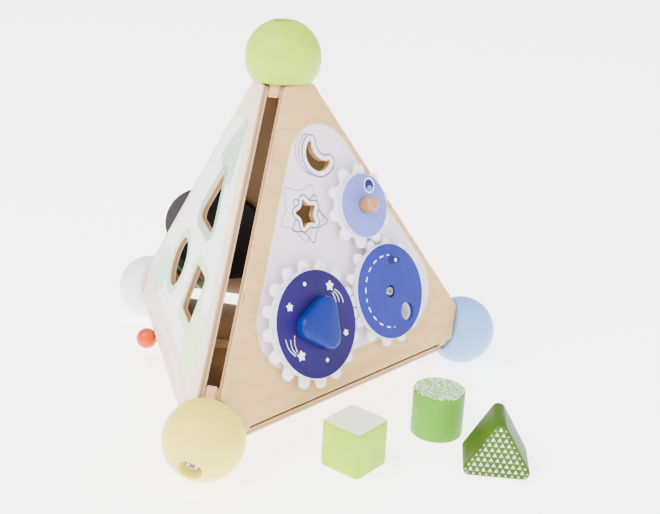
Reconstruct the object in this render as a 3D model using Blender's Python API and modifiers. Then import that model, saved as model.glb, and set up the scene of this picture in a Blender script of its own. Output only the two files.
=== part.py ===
# Baby activity pyramid: four birch panels between four wooden balls, with a gear train on one panel,
# a shape sorter on the next, a spinner on the back, a swinging knob under the base and three loose blocks.
# Metres, +Z up. The row's origin is the centre of the base panel's underside.
import bmesh
import bpy
import numpy as np
from math import acos, asin, atan2, cos, pi, radians, sin, sqrt, tan
from mathutils import Matrix, Vector

for old in list(bpy.data.objects):
    bpy.data.objects.remove(old)

mm = 0.001
gap = 0.3 * mm                    # clearance between pieces that touch

# Frame: balls at the corners of a regular tetrahedron
ballRadius = 25.0 * mm
edgeLength = 250.0 * mm           # ball centre to ball centre
ballFlat = 14.75 * mm             # flat that meets the corner block
counterboreRadius = 7.0 * mm
counterboreDepth = 7.5 * mm

# Panels
panelOuter = 10.0 * mm            # outer face, outside the plane of the three ball centres
panelInner = 5.5 * mm
panelMargin = 0.83 * mm           # panel edge beyond the line of ball centres
cornerCut = 19.84 * mm            # ball centre to the panel's cut corner
panelEase = 0.5 * mm

# Corner blocks
blockNear = ballFlat + gap
blockFar = 22.5 * mm
blockRidge = 5.2 * mm

# Fasteners
shankRadius = 2.0 * mm
holeRadius = shankRadius + gap
nutRadius = 4.0 * mm
nutHeight = 3.0 * mm

# Gears on the front right panel: centre (u, v), teeth, tip and root radius, disc radius
toothModule = 4.827 * mm
pressureAngle = radians(22.0)
gearBottom = 10.6 * mm
gearRim = 13.8 * mm               # underside of the teeth; the hub below is narrower
rimInset = 2.0 * mm
gearTop = 17.0 * mm
discBottom = 17.3 * mm
discTop = 20.3 * mm
largeCentre = (-36.1 * mm, -25.8 * mm)
middleCentre = (36.2 * mm, -21.9 * mm)
smallCentre = (27.3 * mm, 38.9 * mm)
largeTeeth, middleTeeth, smallTeeth = 16, 14, 10
largeTip, middleTip, smallTip = 41.0 * mm, 37.2 * mm, 28.3 * mm
largeRoot, middleRoot, smallRoot = 34.5 * mm, 30.8 * mm, 22.3 * mm
largeThick, middleThick, smallThick = 7.1 * mm, 7.1 * mm, 8.6 * mm
largeDiscRadius, middleDiscRadius, smallDiscRadius = 34.8 * mm, 32.6 * mm, 21.8 * mm
largePhase = radians(90.0 - 3.9)
headRadius = 3.7 * mm
discHoleRadius = headRadius + 0.55 * mm
headHeight = 2.2 * mm
fingerRadius = 6.15 * mm
fingerCentre = (12.6 * mm, -17.2 * mm)    # from the middle gear's axis
knobTop = 28.4 * mm
knobInradius = 13.3 * mm
knobCorner = 8.0 * mm
pegTop = 30.0 * mm
pegRadius = 5.3 * mm

# Cut-outs
moonOuter = (4.5 * mm, 78.3 * mm, 11.2 * mm)
moonInner = (11.5 * mm, 84.5 * mm, 11.4 * mm)
starCentre = (-16.5 * mm, 42.5 * mm)
starOuterRadius, starInnerRadius = 10.6 * mm, 5.6 * mm
triangleCentre = (-1.0 * mm, 35.5 * mm)
triangleSide, triangleCorner = 48.4 * mm, 5.0 * mm
circleCentre, circleRadius = (-32.5 * mm, -17.8 * mm), 17.7 * mm
squareCentre, squareSide, squareCorner = (30.0 * mm, -17.5 * mm), 32.4 * mm, 3.5 * mm

# Spinner behind the back panel
spinnerCentre = (62.5 * mm, -12.5 * mm)
spinnerRadius = 42.0 * mm
spinnerThick = 4.0 * mm

# Swinging knob under the left edge
armThick = 3.0 * mm
armShoulder = 8.75 * mm            # the plate ends this far short of the knob's centre
armWidth = 9.0 * mm
swingKnobOut = 13.609 * mm         # beyond the base panel's left edge
swingKnobAlong = -33.191 * mm
swingKnobDrop = -3.7 * mm          # from the base plane of ball centres
swingKnobRadius = 7.4 * mm
tongueWidth = 3.4 * mm
screwSink = 3.5 * mm                # blind hole for the arm's screw

# Loose blocks
cubeSide, cubeEase = 30.5 * mm, 2.8 * mm
cylinderRadius, cylinderHeight = 17.0 * mm, 31.0 * mm
prismSide, prismDepth, prismCorner = 47.2 * mm, 30.0 * mm, 4.5 * mm
cubePlace = (82.0 * mm, -101.5 * mm, radians(64.0))
cylinderPlace = (125.3 * mm, -44.0 * mm)
prismPlace = (169.0 * mm, -90.9 * mm, radians(8.0))    # middle of its front lower edge

# Tetrahedron measures; z is counted from the underside of the base panel
faceInradius = edgeLength / (2.0 * sqrt(3.0))
panelInradius = faceInradius + panelMargin
panelTruncation = 2.0 * faceInradius - cornerCut
basePlane = panelOuter
tableZ = basePlane - ballRadius
height = edgeLength * sqrt(2.0 / 3.0)
corner = {
    "front": Vector((0.0, -2.0 * faceInradius, basePlane)),
    "right": Vector((edgeLength / 2.0, faceInradius, basePlane)),
    "left": Vector((-edgeLength / 2.0, faceInradius, basePlane)),
    "top": Vector((0.0, 0.0, basePlane + height)),
}
middle = sum(corner.values(), Vector()) / 4.0


parts = bpy.data.collections.new("Activity pyramid")
cutters = bpy.data.collections.new("Cutters")
bpy.context.scene.collection.children.link(parts)
bpy.context.scene.collection.children.link(cutters)


def frameOf(origin, u, v, n):
    # Placement matrix: columns are the local axes
    frame = Matrix((u, v, n)).transposed().to_4x4()
    frame.translation = origin
    return frame


def at(frame, u=0.0, v=0.0, n=0.0):
    return frame @ Matrix.Translation((u, v, n))


def panelFrame(a, b, c):
    # Face centre; u level, v up the slope, n outward
    origin = (corner[a] + corner[b] + corner[c]) / 3.0
    n = (corner[b] - corner[a]).cross(corner[c] - corner[a]).normalized()
    if n.dot(origin - middle) < 0.0:
        n = -n
    up = corner[a] - origin
    v = (up - n * up.dot(n)).normalized()
    return frameOf(origin, v.cross(n), v, n)


def axisFrame(name):
    # n runs from the ball's centre to the middle of the pyramid
    n = (middle - corner[name]).normalized()
    other = "right" if name == "left" else "left"
    side = corner[other] - corner[name]
    u = (side - n * side.dot(n)).normalized()
    return frameOf(corner[name], u, n.cross(u), n)


gearFace = panelFrame("top", "front", "right")
sorterFace = panelFrame("top", "left", "front")
backFace = panelFrame("top", "right", "left")
baseUp = Matrix.Translation((0.0, 0.0, basePlane))
flip = Matrix.Rotation(pi, 4, "X")    # turns a piece over


# Outlines, all counter-clockwise
def circle(radius, count, centre=(0.0, 0.0), start=0.0):
    angle = start + np.arange(count) * 2.0 * pi / count
    return np.column_stack((centre[0] + radius * np.cos(angle), centre[1] + radius * np.sin(angle)))


def rounded(points, radius, steps, centre=(0.0, 0.0)):
    # Each corner of a convex polygon becomes an arc of the given radius
    points = [Vector(p) for p in points]
    out = []
    for i, p in enumerate(points):
        a = (points[i - 1] - p).normalized()
        b = (points[(i + 1) % len(points)] - p).normalized()
        half = acos(max(-1.0, min(1.0, a.dot(b)))) / 2.0
        mid = p + (a + b).normalized() * (radius / sin(half))
        start = p + a * (radius / tan(half)) - mid
        sweep = pi - 2.0 * half
        for k in range(steps + 1):
            t = sweep * k / steps
            x = start.x * cos(t) - start.y * sin(t)
            y = start.x * sin(t) + start.y * cos(t)
            out.append((mid.x + x + centre[0], mid.y + y + centre[1]))
    return np.array(out)


def polygon(count, inradius, start):
    reach = inradius / cos(pi / count)
    return [(reach * cos(start + 2 * pi * k / count), reach * sin(start + 2 * pi * k / count))
            for k in range(count)]


def panelOutline(turn=0.0):
    # A triangle with its three corners cut square
    half = (2.0 * panelInradius - panelTruncation) * tan(radians(30.0))
    out = []
    for k in range(3):
        a = radians(90.0) + turn + 2.0 * pi * k / 3.0
        for side in (-1, 1):
            out.append((panelTruncation * cos(a) - side * half * sin(a),
                        panelTruncation * sin(a) + side * half * cos(a)))
    return rounded(out, 2.0 * mm, 2)


def moonOutline():
    # The outer disc less the inner one, with the two tips cut back and rounded
    ox, oy, ro = moonOuter
    ix, iy, ri = moonInner
    d = sqrt((ix - ox) ** 2 + (iy - oy) ** 2)
    lean = atan2(iy - oy, ix - ox)
    outerHalf = acos((ro * ro - ri * ri + d * d) / (2.0 * ro * d))
    innerHalf = acos((ri * ri - ro * ro + d * d) / (2.0 * ri * d))
    outerAngles = np.linspace(lean + outerHalf + 0.24, lean + 2.0 * pi - outerHalf - 0.24, 18)
    innerAngles = np.linspace(lean + pi + innerHalf - 0.24, lean + pi - innerHalf + 0.24, 10)
    outerArc = np.column_stack((ox + ro * np.cos(outerAngles), oy + ro * np.sin(outerAngles)))
    innerArc = np.column_stack((ix + ri * np.cos(innerAngles), iy + ri * np.sin(innerAngles)))
    tips = []
    for p, q, sign in ((outerArc[-1], innerArc[0], 1.0), (innerArc[-1], outerArc[0], 1.0)):
        out = np.array((q[1] - p[1], p[0] - q[0])) * sign
        tips.append((p + q) / 2.0 + out * 0.42)
    return np.vstack((outerArc, [tips[0]], innerArc, [tips[1]]))


def starOutline(outer, inner, centre, lean):
    # Ten corners, each softened by a point either side
    out = []
    for k in range(10):
        r = outer if k % 2 == 0 else inner
        a = lean + pi * k / 5.0
        out.append(np.array((centre[0] + r * cos(a), centre[1] + r * sin(a))))
    soft = []
    for k, p in enumerate(out):
        before, after = out[k - 1], out[(k + 1) % 10]
        soft.append(p * 0.82 + before * 0.18)
        soft.append(p * 0.91 + (before + after) * 0.045)
        soft.append(p * 0.82 + after * 0.18)
    return np.array(soft)


def involute(angle):
    return tan(angle) - angle


def gearOutline(teeth, tip, root, thick, phase):
    # Involute teeth: the half angle at radius r is thick/2R + inv(pressure) - inv(acos(base/r))
    pitch = toothModule * teeth / 2.0
    base = pitch * cos(pressureAngle)

    def half(r):
        return thick / (2.0 * pitch) + involute(pressureAngle) - involute(acos(min(1.0, base / r)))

    soften = 0.9 * mm
    flank = [(r, half(r)) for r in np.linspace(root + 0.5 * mm, tip - soften, 3)]
    topHalf = half(tip) - 0.75 * soften / tip
    flank.append((tip - 0.3 * soften, half(tip - 0.3 * soften) - 0.25 * soften / tip))
    flank.append((tip, topHalf))
    footHalf = half(root + 0.5 * mm) + 0.5 * mm / root
    step = 2.0 * pi / teeth
    out = []
    for k in range(teeth):
        a = phase + k * step
        out.append((root, a - footHalf))
        out += [(r, a - h) for r, h in flank]
        out += [(r, a + h) for r, h in reversed(flank)]
        out.append((root, a + footHalf))
    return np.array([(r * cos(a), r * sin(a)) for r, a in out])


# Solids
def meshObject(name, mesh, collection=parts):
    obj = bpy.data.objects.new(name, mesh)
    collection.objects.link(obj)
    return obj


def flat(name, loops, z0, z1, collection=parts):
    # A filled 2D curve, extruded from z0 to z1 and made into a mesh
    curve = bpy.data.curves.new(name + "_outline", "CURVE")
    curve.dimensions = "2D"
    curve.fill_mode = "BOTH"
    curve.extrude = (z1 - z0) / 2.0
    for loop in loops:
        spline = curve.splines.new("POLY")
        spline.points.add(len(loop) - 1)
        for point, (x, y) in zip(spline.points, loop):
            point.co = (x, y, 0.0, 1.0)
        spline.use_cyclic_u = True
    drawn = bpy.data.objects.new(name + "_outline", curve)
    bpy.context.scene.collection.objects.link(drawn)
    graph = bpy.context.evaluated_depsgraph_get()
    mesh = bpy.data.meshes.new_from_object(drawn.evaluated_get(graph))
    bpy.data.objects.remove(drawn)
    mesh.name = name
    bm = bmesh.new()
    bm.from_mesh(mesh)
    bmesh.ops.remove_doubles(bm, verts=bm.verts, dist=1e-6)
    bmesh.ops.translate(bm, verts=bm.verts, vec=(0.0, 0.0, (z0 + z1) / 2.0))
    bmesh.ops.recalc_face_normals(bm, faces=bm.faces)
    bm.to_mesh(mesh)
    bm.free()
    return meshObject(name, mesh, collection)


def turned(name, profile, steps):
    # A (radius, z) profile, top to bottom down the outer side, on a Screw modifier
    mesh = bpy.data.meshes.new(name)
    closed = profile[0][0] > 0.0
    count = len(profile)
    edges = [(k, k + 1) for k in range(count - 1)] + ([(count - 1, 0)] if closed else [])
    mesh.from_pydata([(r, 0.0, z) for r, z in profile], edges, [])
    obj = meshObject(name, mesh)
    screw = obj.modifiers.new("Turn", "SCREW")
    screw.axis = "Z"
    screw.steps = steps
    screw.render_steps = steps
    screw.use_merge_vertices = True
    screw.merge_threshold = 1e-6
    return obj


def ease(obj, width, segments=1, degrees=60.0):
    bevel = obj.modifiers.new("Eased edges", "BEVEL")
    bevel.width = width
    bevel.segments = segments
    bevel.limit_method = "ANGLE"
    bevel.angle_limit = radians(degrees)
    return obj


def cut(obj, cutter):
    # The cutter shares the piece's frame and is never part of the model
    cutter.hide_render = True
    cutter.display_type = "WIRE"
    cutter.parent = obj
    boolean = obj.modifiers.new("Cut " + cutter.name, "BOOLEAN")
    boolean.operation = "DIFFERENCE"
    boolean.solver = "EXACT"
    boolean.object = cutter
    return obj


def linear(hexColour):
    # sRGB channel c: c/12.92 up to 0.04045, else ((c + 0.055)/1.055)^2.4
    out = []
    for k in (0, 2, 4):
        c = int(hexColour[k:k + 2], 16) / 255.0
        out.append(c / 12.92 if c <= 0.04045 else ((c + 0.055) / 1.055) ** 2.4)
    return out + [1.0]


def place(obj, frame, colour, roughness=0.5, metallic=0.0, smoothAngle=None):
    # Puts a piece in its frame, with its own material and, if round, smooth shading
    obj.matrix_world = frame
    material = bpy.data.materials.new(obj.name)
    material.use_nodes = True
    shader = material.node_tree.nodes["Principled BSDF"]
    shader.inputs["Base Color"].default_value = linear(colour)
    shader.inputs["Roughness"].default_value = roughness
    shader.inputs["Metallic"].default_value = metallic
    obj.data.materials.append(material)
    if smoothAngle is not None and obj.data.polygons:
        obj.data.shade_smooth()
        obj.data.set_sharp_from_angle(angle=radians(smoothAngle))
    return obj


# Panels
triangleLoop = rounded(polygon(3, triangleSide / (2.0 * sqrt(3.0)), pi / 2.0), triangleCorner, 4, triangleCentre)
circleLoop = circle(circleRadius, 40, circleCentre)
squareLoop = rounded(polygon(4, squareSide / 2.0, pi / 4.0), squareCorner, 3, squareCentre)
moonLoop = moonOutline()
starLoop = starOutline(starOuterRadius, starInnerRadius, starCentre, radians(95.0))
axleHoles = [circle(holeRadius, 16, c) for c in (largeCentre, middleCentre, smallCentre)]

sheet = panelOutline()
gearPanel = flat("gear_panel", [sheet, moonLoop, starLoop] + axleHoles, panelInner, panelOuter)
place(ease(gearPanel, panelEase), gearFace, "E2D2C3", 0.55)
sorterPanel = flat("sorter_panel", [sheet, triangleLoop, circleLoop, squareLoop], panelInner, panelOuter)
place(ease(sorterPanel, panelEase), sorterFace, "E6DEDA", 0.55)
backPanel = flat("back_panel", [sheet, circle(holeRadius, 16, spinnerCentre)], panelInner, panelOuter)
place(ease(backPanel, panelEase), backFace, "E0CDB4", 0.55)

# The base takes the arm's screw in a blind hole
basePanel = ease(flat("base_panel", [panelOutline(pi)], -panelOuter, -panelInner), panelEase)
blind = flat("blind_hole", [circle(holeRadius, 16)], -panelInner - screwSink, 0.0, cutters)
place(cut(basePanel, blind), baseUp, "DEC8AA", 0.55)

# Balls: a counterbore at the outer pole, a flat at the inner one
seat = -(ballRadius - counterboreDepth)
lipAngle = asin(counterboreRadius / ballRadius)
flatAngle = pi - acos(ballFlat / ballRadius)
ballProfile = [(holeRadius, ballFlat), (ballRadius * sin(flatAngle) - 0.5 * mm, ballFlat)]
ballProfile += [(ballRadius * sin(a), -ballRadius * cos(a))
                for a in np.linspace(flatAngle - 0.03, lipAngle + 0.03, 10)]
ballProfile += [(counterboreRadius, -ballRadius * cos(lipAngle) + 0.5 * mm), (counterboreRadius, seat),
                (holeRadius, seat)]
for where, colour in (("top", "D5E09A"), ("front", "E5E2BC"), ("right", "BACDDD"), ("left", "E4E2E6")):
    place(turned("ball_" + where, ballProfile, 28), axisFrame(where), colour, 0.35)

# Corner blocks: three-sided wedges that fill the corner behind each ball, their ridges cut flat
axisToFace = asin(1.0 / 3.0)
axisToEdge = acos(sqrt(2.0 / 3.0))


def wedge(name):
    # Half width of the section at s along the axis: s tan(axis to face) + panel offset / cos
    nearSide, farSide = [s * tan(axisToFace) + (panelInner - gap) / cos(axisToFace)
                         for s in (blockNear, blockFar)]
    bm = bmesh.new()
    bmesh.ops.create_cone(bm, cap_ends=True, segments=3, radius1=2.0 * nearSide, radius2=2.0 * farSide,
                          depth=blockFar - blockNear)
    points = [v.co.copy() for v in bm.verts]
    bmesh.ops.translate(bm, verts=bm.verts, vec=(0.0, 0.0, (blockNear + blockFar) / 2.0))
    start = atan2(points[0].y, points[0].x)
    bmesh.ops.rotate(bm, verts=bm.verts, matrix=Matrix.Rotation(-start, 3, "Z"))
    for k in range(3):
        a = 2.0 * pi * k / 3.0
        out = Vector((cos(a) * cos(axisToEdge), sin(a) * cos(axisToEdge), -sin(axisToEdge)))
        cutEdges = bmesh.ops.bisect_plane(bm, geom=bm.verts[:] + bm.edges[:] + bm.faces[:],
                                          plane_co=out * blockRidge, plane_no=out, clear_outer=True)
        rim = [e for e in cutEdges["geom_cut"] if isinstance(e, bmesh.types.BMEdge)]
        bmesh.ops.contextual_create(bm, geom=rim)
    bmesh.ops.recalc_face_normals(bm, faces=bm.faces)
    mesh = bpy.data.meshes.new(name)
    bm.to_mesh(mesh)
    bm.free()
    obj = meshObject(name, mesh)
    drill = flat(name + "_bore", [circle(holeRadius, 16)], blockNear - 2.0 * mm, blockFar + 2.0 * mm, cutters)
    return cut(obj, drill)


for where in ("top", "front", "right", "left"):
    place(wedge("corner_block_" + where), axisFrame(where), "DCC19B", 0.6)


# Fasteners
def crossLoop(reach, width):
    # Outline of a cross recess, its arms a little narrower at the ends
    w, r = width / 2.0, reach
    t = 0.8 * w
    return [(r, -t), (r, t), (w, w), (t, r), (-t, r), (-w, w),
            (-r, t), (-r, -t), (-w, -w), (-t, -r), (t, -r), (w, -w)]


def screwPiece(name, length, head, rise, recess=1.2 * mm):
    # The underside of the head is at z = 0, the shank points down
    profile = [(0.0, rise), (head * 0.74, rise), (head, rise * 0.55), (head, 0.0), (shankRadius, 0.0),
               (shankRadius, -length + 0.4 * mm), (shankRadius - 0.4 * mm, -length), (0.0, -length)]
    cross = flat(name + "_cross", [crossLoop(head * 0.5, head * 0.2)], rise - recess, rise + 1.0 * mm, cutters)
    return cut(turned(name, profile, 12), cross)


def nutPiece(name):
    return flat(name, [circle(nutRadius, 6), circle(holeRadius, 16)], -nutHeight, 0.0)


steel = ("8D8A86", 0.3, 1.0)
for where in ("top", "front", "right", "left"):
    screw = screwPiece("ball_screw_" + where, -seat + blockFar - 1.0 * mm, 5.0 * mm, 2.6 * mm)
    place(screw, at(axisFrame(where), n=seat - gap) @ flip, *steel)

# Gears: phases follow from tooth meeting gap on each line of centres


def meshedPhase(fromCentre, fromTeeth, fromPhase, toCentre, toTeeth):
    # Share of a tooth step from the line of centres: both gears' shares add to one half
    line = atan2(toCentre[1] - fromCentre[1], toCentre[0] - fromCentre[0])
    share = (line - fromPhase) / (2.0 * pi / fromTeeth) % 1.0
    return line + pi - (0.5 - share) * 2.0 * pi / toTeeth


middlePhase = meshedPhase(largeCentre, largeTeeth, largePhase, middleCentre, middleTeeth)
smallPhase = meshedPhase(middleCentre, middleTeeth, middlePhase, smallCentre, smallTeeth)
finger = circle(fingerRadius, 28, fingerCentre)
boltLength = discBottom - panelInner + nutHeight + 1.5 * mm
train = {
    "large": (largeCentre, largeTeeth, largeTip, largeRoot, largeThick, largePhase, largeDiscRadius, "3F369F", []),
    "middle": (middleCentre, middleTeeth, middleTip, middleRoot, middleThick, middlePhase, middleDiscRadius,
               "5F72C8", [finger]),
    "small": (smallCentre, smallTeeth, smallTip, smallRoot, smallThick, smallPhase, smallDiscRadius, "A9B4E2", []),
}
for name, (centre, teeth, tip, root, thick, phase, discRadius, colour, extra) in train.items():
    axle = at(gearFace, centre[0], centre[1])
    loop = gearOutline(teeth, tip, root, thick, phase)
    gear = flat(name + "_gear", [loop, circle(holeRadius, 16)] + extra, gearBottom, gearTop)
    relief = [circle(tip + 3.0 * mm, 48), circle(root - rimInset, 48)]
    cut(gear, flat(name + "_relief", relief, gearBottom - 1.0 * mm, gearRim, cutters))
    place(gear, axle, "EDEBEF", 0.4)
    disc = flat(name + "_disc", [circle(discRadius, 56), circle(discHoleRadius, 20)] + extra, discBottom, discTop)
    place(disc, axle, colour, 0.45, 0.0, 30)
    bolt = screwPiece(name + "_axle_bolt", boltLength, headRadius, headHeight, 1.0 * mm)
    place(bolt, at(axle, n=discBottom), *steel)
    place(nutPiece(name + "_axle_nut"), at(axle, n=panelInner - gap), "A9A59E", 0.35, 1.0)

# Handles on the large and small gears
knobBase = discTop + gap
knobLoop = rounded(polygon(3, knobInradius, radians(55.0)), knobCorner, 7)
knob = ease(flat("triangle_knob", [knobLoop], knobBase, knobTop), 2.2 * mm, 2)
place(knob, at(gearFace, *largeCentre), "2F5FC0", 0.3, 0.0, 35)
pegProfile = [(0.0, pegTop), (pegRadius * 0.5, pegTop), (pegRadius * 0.86, pegTop - 0.8 * mm),
              (pegRadius, pegTop - 2.0 * mm), (pegRadius, knobBase), (0.0, knobBase)]
place(turned("peg_handle", pegProfile, 24), at(gearFace, *smallCentre), "D9B98E", 0.45)

# Spinner: a disc that turns behind the back panel, its rim showing through the gap
spinnerTop = panelInner - gap
spinnerLow = spinnerTop - spinnerThick
spinnerAxle = at(backFace, *spinnerCentre)
spinner = flat("spinner_disc", [circle(spinnerRadius, 64), circle(holeRadius, 16)], spinnerLow, spinnerTop)
place(spinner, spinnerAxle, "4A434A", 0.4, 0.0, 30)
spinnerLength = panelOuter + 2.0 * gap - spinnerLow + nutHeight + 1.5 * mm
place(screwPiece("spinner_bolt", spinnerLength, 4.6 * mm, 2.4 * mm), at(spinnerAxle, n=panelOuter + gap), *steel)
place(nutPiece("spinner_nut"), at(spinnerAxle, n=spinnerLow - gap), "A9A59E", 0.35, 1.0)

# Swinging arm on the base panel, its knob outside the gap between the left and front balls
armTop = panelInner - gap
armLow = armTop - armThick
edgeOut = Vector((-cos(pi / 6.0), -0.5, 0.0))
knobSpot = edgeOut * (panelInradius + swingKnobOut) + Vector((0.5, -cos(pi / 6.0), 0.0)) * swingKnobAlong
swingAngle = atan2(knobSpot.y, knobSpot.x)
swingReach = knobSpot.length
armReach = swingReach - armShoulder
armFrame = baseUp @ Matrix.Rotation(swingAngle, 4, "Z")
hub = 8.0 * mm
tongueEnd = swingReach + 1.5 * mm
side = armWidth / 2.0
half = tongueWidth / 2.0
lower = [(14.0 * mm, -side), (armReach - 3.0 * mm, -side), (armReach - 0.9 * mm, -side + 0.9 * mm),
         (armReach, -side + 2.6 * mm), (armReach, -half), (tongueEnd, -half)]
hubAngles = np.linspace(0.62, 2.0 * pi - 0.62, 20)
armLoop = [(hub * cos(a), hub * sin(a)) for a in hubAngles] + lower + [(x, -y) for x, y in reversed(lower)]
place(flat("swing_arm", [armLoop, circle(holeRadius, 16)], -armTop, -armLow), armFrame, "D9B98E", 0.55)
armScrew = screwPiece("arm_screw", armThick + gap + screwSink, 4.6 * mm, 2.4 * mm)
place(armScrew, at(baseUp, n=gap - armLow), *steel)

# The knob is a ball with a flat and a slot facing the pivot, which is along its own z
slotHalf = armThick / 2.0 + gap
slotSide = tongueWidth / 2.0 + gap
slotLoop = [(-slotHalf, -slotSide), (slotHalf, -slotSide), (slotHalf, slotSide), (-slotHalf, slotSide)]
flatReach = swingKnobRadius * cos(0.56)
knobProfile = [(0.0, flatReach)]
knobProfile += [(swingKnobRadius * sin(a), swingKnobRadius * cos(a)) for a in np.linspace(0.56, pi - 0.2, 11)]
knobProfile.append((0.0, -swingKnobRadius * cos(0.2)))
swingKnob = turned("swing_knob", knobProfile, 28)
slot = flat("knob_slot", [slotLoop], -2.0 * mm, swingKnobRadius, cutters)
towardPivot = Matrix(((0, 0, -1), (0, 1, 0), (1, 0, 0))).to_4x4()
place(cut(swingKnob, slot), at(armFrame, swingReach, 0.0, swingKnobDrop) @ towardPivot, "E86E32", 0.25)


# Loose blocks, standing on the table
def standing(x, y, turn):
    return Matrix.Translation((x, y, tableZ)) @ Matrix.Rotation(turn, 4, "Z")


bm = bmesh.new()
bmesh.ops.create_cube(bm, size=cubeSide)
bmesh.ops.translate(bm, verts=bm.verts, vec=(0.0, 0.0, cubeSide / 2.0))
cubeMesh = bpy.data.meshes.new("cube_block")
bm.to_mesh(cubeMesh)
bm.free()
place(ease(meshObject("cube_block", cubeMesh), cubeEase, 3), standing(*cubePlace), "CFDC6A", 0.45)

bm = bmesh.new()
bmesh.ops.create_cone(bm, cap_ends=True, segments=48, radius1=cylinderRadius, radius2=cylinderRadius,
                      depth=cylinderHeight)
bmesh.ops.translate(bm, verts=bm.verts, vec=(0.0, 0.0, cylinderHeight / 2.0))
cylinderMesh = bpy.data.meshes.new("cylinder_block")
bm.to_mesh(cylinderMesh)
bm.free()
place(ease(meshObject("cylinder_block", cylinderMesh), 1.0 * mm), standing(*cylinderPlace, 0.0), "A3CC7E", 0.45)

prismInradius = prismSide / (2.0 * sqrt(3.0))
prismLoop = rounded(polygon(3, prismInradius, pi / 2.0), prismCorner, 5)
prism = ease(flat("prism_block", [prismLoop], -prismDepth, 0.0), 1.0 * mm)
upright = Matrix.Translation((0.0, 0.0, prismInradius)) @ Matrix.Rotation(pi / 2.0, 4, "X")
place(prism, standing(*prismPlace) @ upright, "5F8F2E", 0.45, 0.0, 35)
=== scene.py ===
# Activity pyramid: finished look over the CAD frame.
import bmesh
import bpy
import numpy as np
from math import acos, asin, atan2, cos, pi, radians, sin, sqrt, tan
from mathutils import Matrix, Vector
from mathutils.geometry import delaunay_2d_cdt


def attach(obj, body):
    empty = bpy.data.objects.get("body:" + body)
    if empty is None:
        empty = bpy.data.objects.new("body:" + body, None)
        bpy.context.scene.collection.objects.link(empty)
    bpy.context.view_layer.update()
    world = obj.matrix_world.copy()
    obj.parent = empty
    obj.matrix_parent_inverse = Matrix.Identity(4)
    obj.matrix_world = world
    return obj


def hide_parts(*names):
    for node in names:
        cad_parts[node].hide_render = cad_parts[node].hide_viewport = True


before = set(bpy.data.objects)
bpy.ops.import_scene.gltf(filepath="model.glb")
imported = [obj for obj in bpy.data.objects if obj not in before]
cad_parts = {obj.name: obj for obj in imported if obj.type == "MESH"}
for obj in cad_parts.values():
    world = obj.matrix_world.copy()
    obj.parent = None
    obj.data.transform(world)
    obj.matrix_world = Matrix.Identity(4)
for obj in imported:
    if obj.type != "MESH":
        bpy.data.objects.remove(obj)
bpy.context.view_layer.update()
print("frame loaded")

mm = 0.001
frameSizes = {"ball": 25.0, "edge": 250.0, "baseLift": 10.0}

# Corners of the regular tetrahedron, in millimetres; height is edge * sqrt(2/3)
third = frameSizes["edge"] / (2.0 * sqrt(3.0))
cornerPoints = {
    "front": Vector((0.0, -2.0 * third, frameSizes["baseLift"])),
    "right": Vector((frameSizes["edge"] / 2.0, third, frameSizes["baseLift"])),
    "left": Vector((-frameSizes["edge"] / 2.0, third, frameSizes["baseLift"])),
    "top": Vector((0.0, 0.0, frameSizes["baseLift"] + frameSizes["edge"] * sqrt(2.0 / 3.0))),
}
middlePoint = sum(cornerPoints.values(), Vector()) / 4.0
tableHeight = frameSizes["baseLift"] - frameSizes["ball"]


# Placement matrix from an origin and three unit axes, in millimetres
def axesAt(origin, u, v, n):
    placed = Matrix((u, v, n)).transposed().to_4x4()
    placed.translation = origin
    return placed


# The same axes moved along themselves
def shifted(placed, u=0.0, v=0.0, n=0.0):
    return placed @ Matrix.Translation((u, v, n))


# A panel's own axes: u level, v up the slope, n outward, from its face centre
def panelAxes(a, b, c):
    origin = (cornerPoints[a] + cornerPoints[b] + cornerPoints[c]) / 3.0
    n = (cornerPoints[b] - cornerPoints[a]).cross(cornerPoints[c] - cornerPoints[a]).normalized()
    if n.dot(origin - middlePoint) < 0.0:
        n = -n
    up = cornerPoints[a] - origin
    v = (up - n * up.dot(n)).normalized()
    return axesAt(origin, v.cross(n), v, n)


# A ball's own axes: n from its centre to the middle of the pyramid
def ballAxes(name):
    n = (middlePoint - cornerPoints[name]).normalized()
    side = cornerPoints["right" if name == "left" else "left"] - cornerPoints[name]
    u = (side - n * side.dot(n)).normalized()
    return axesAt(cornerPoints[name], u, n.cross(u), n)


gearAxes = panelAxes("top", "front", "right")
sorterAxes = panelAxes("top", "left", "front")
backAxes = panelAxes("top", "right", "left")
baseAxes = Matrix.Translation((0.0, 0.0, frameSizes["baseLift"]))


# Outlines, counter-clockwise, in millimetres

# Points at equal angles on a circle
def circleLine(radius, count, centre=(0.0, 0.0)):
    angle = np.arange(count) * 2.0 * pi / count
    return np.column_stack((centre[0] + radius * np.cos(angle), centre[1] + radius * np.sin(angle)))


# A convex polygon whose corners are arcs of one radius, tangent to both sides
def roundedLine(points, radius, steps=8, centre=(0.0, 0.0)):
    points = [Vector(p) for p in points]
    arcs = []
    for i, p in enumerate(points):
        a = (points[i - 1] - p).normalized()
        b = (points[(i + 1) % len(points)] - p).normalized()
        half = a.angle(b) / 2.0
        hub = p + (a + b).normalized() * (radius / sin(half))
        first = p + a * (radius / tan(half)) - hub
        t = np.linspace(0.0, pi - 2.0 * half, steps + 1)
        arcs.append(np.column_stack((hub.x + first.x * np.cos(t) - first.y * np.sin(t) + centre[0],
                                     hub.y + first.x * np.sin(t) + first.y * np.cos(t) + centre[1])))
    return np.vstack(arcs)


# Corners of a regular polygon: their radius is inradius / cos(pi / count)
def regular(count, inradius, start):
    reach = inradius / cos(pi / count)
    return [(reach * cos(start + 2 * pi * k / count), reach * sin(start + 2 * pi * k / count))
            for k in range(count)]


# Extra points along each side so that none is longer than the step
def divided(line, step):
    ahead = np.roll(line, -1, axis=0)
    pieces = []
    for a, b in zip(line, ahead):
        count = max(1, int(np.ceil(np.hypot(*(b - a)) / step)))
        pieces.append(a + (b - a) * (np.arange(count) / count)[:, None])
    return np.vstack(pieces)


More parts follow.
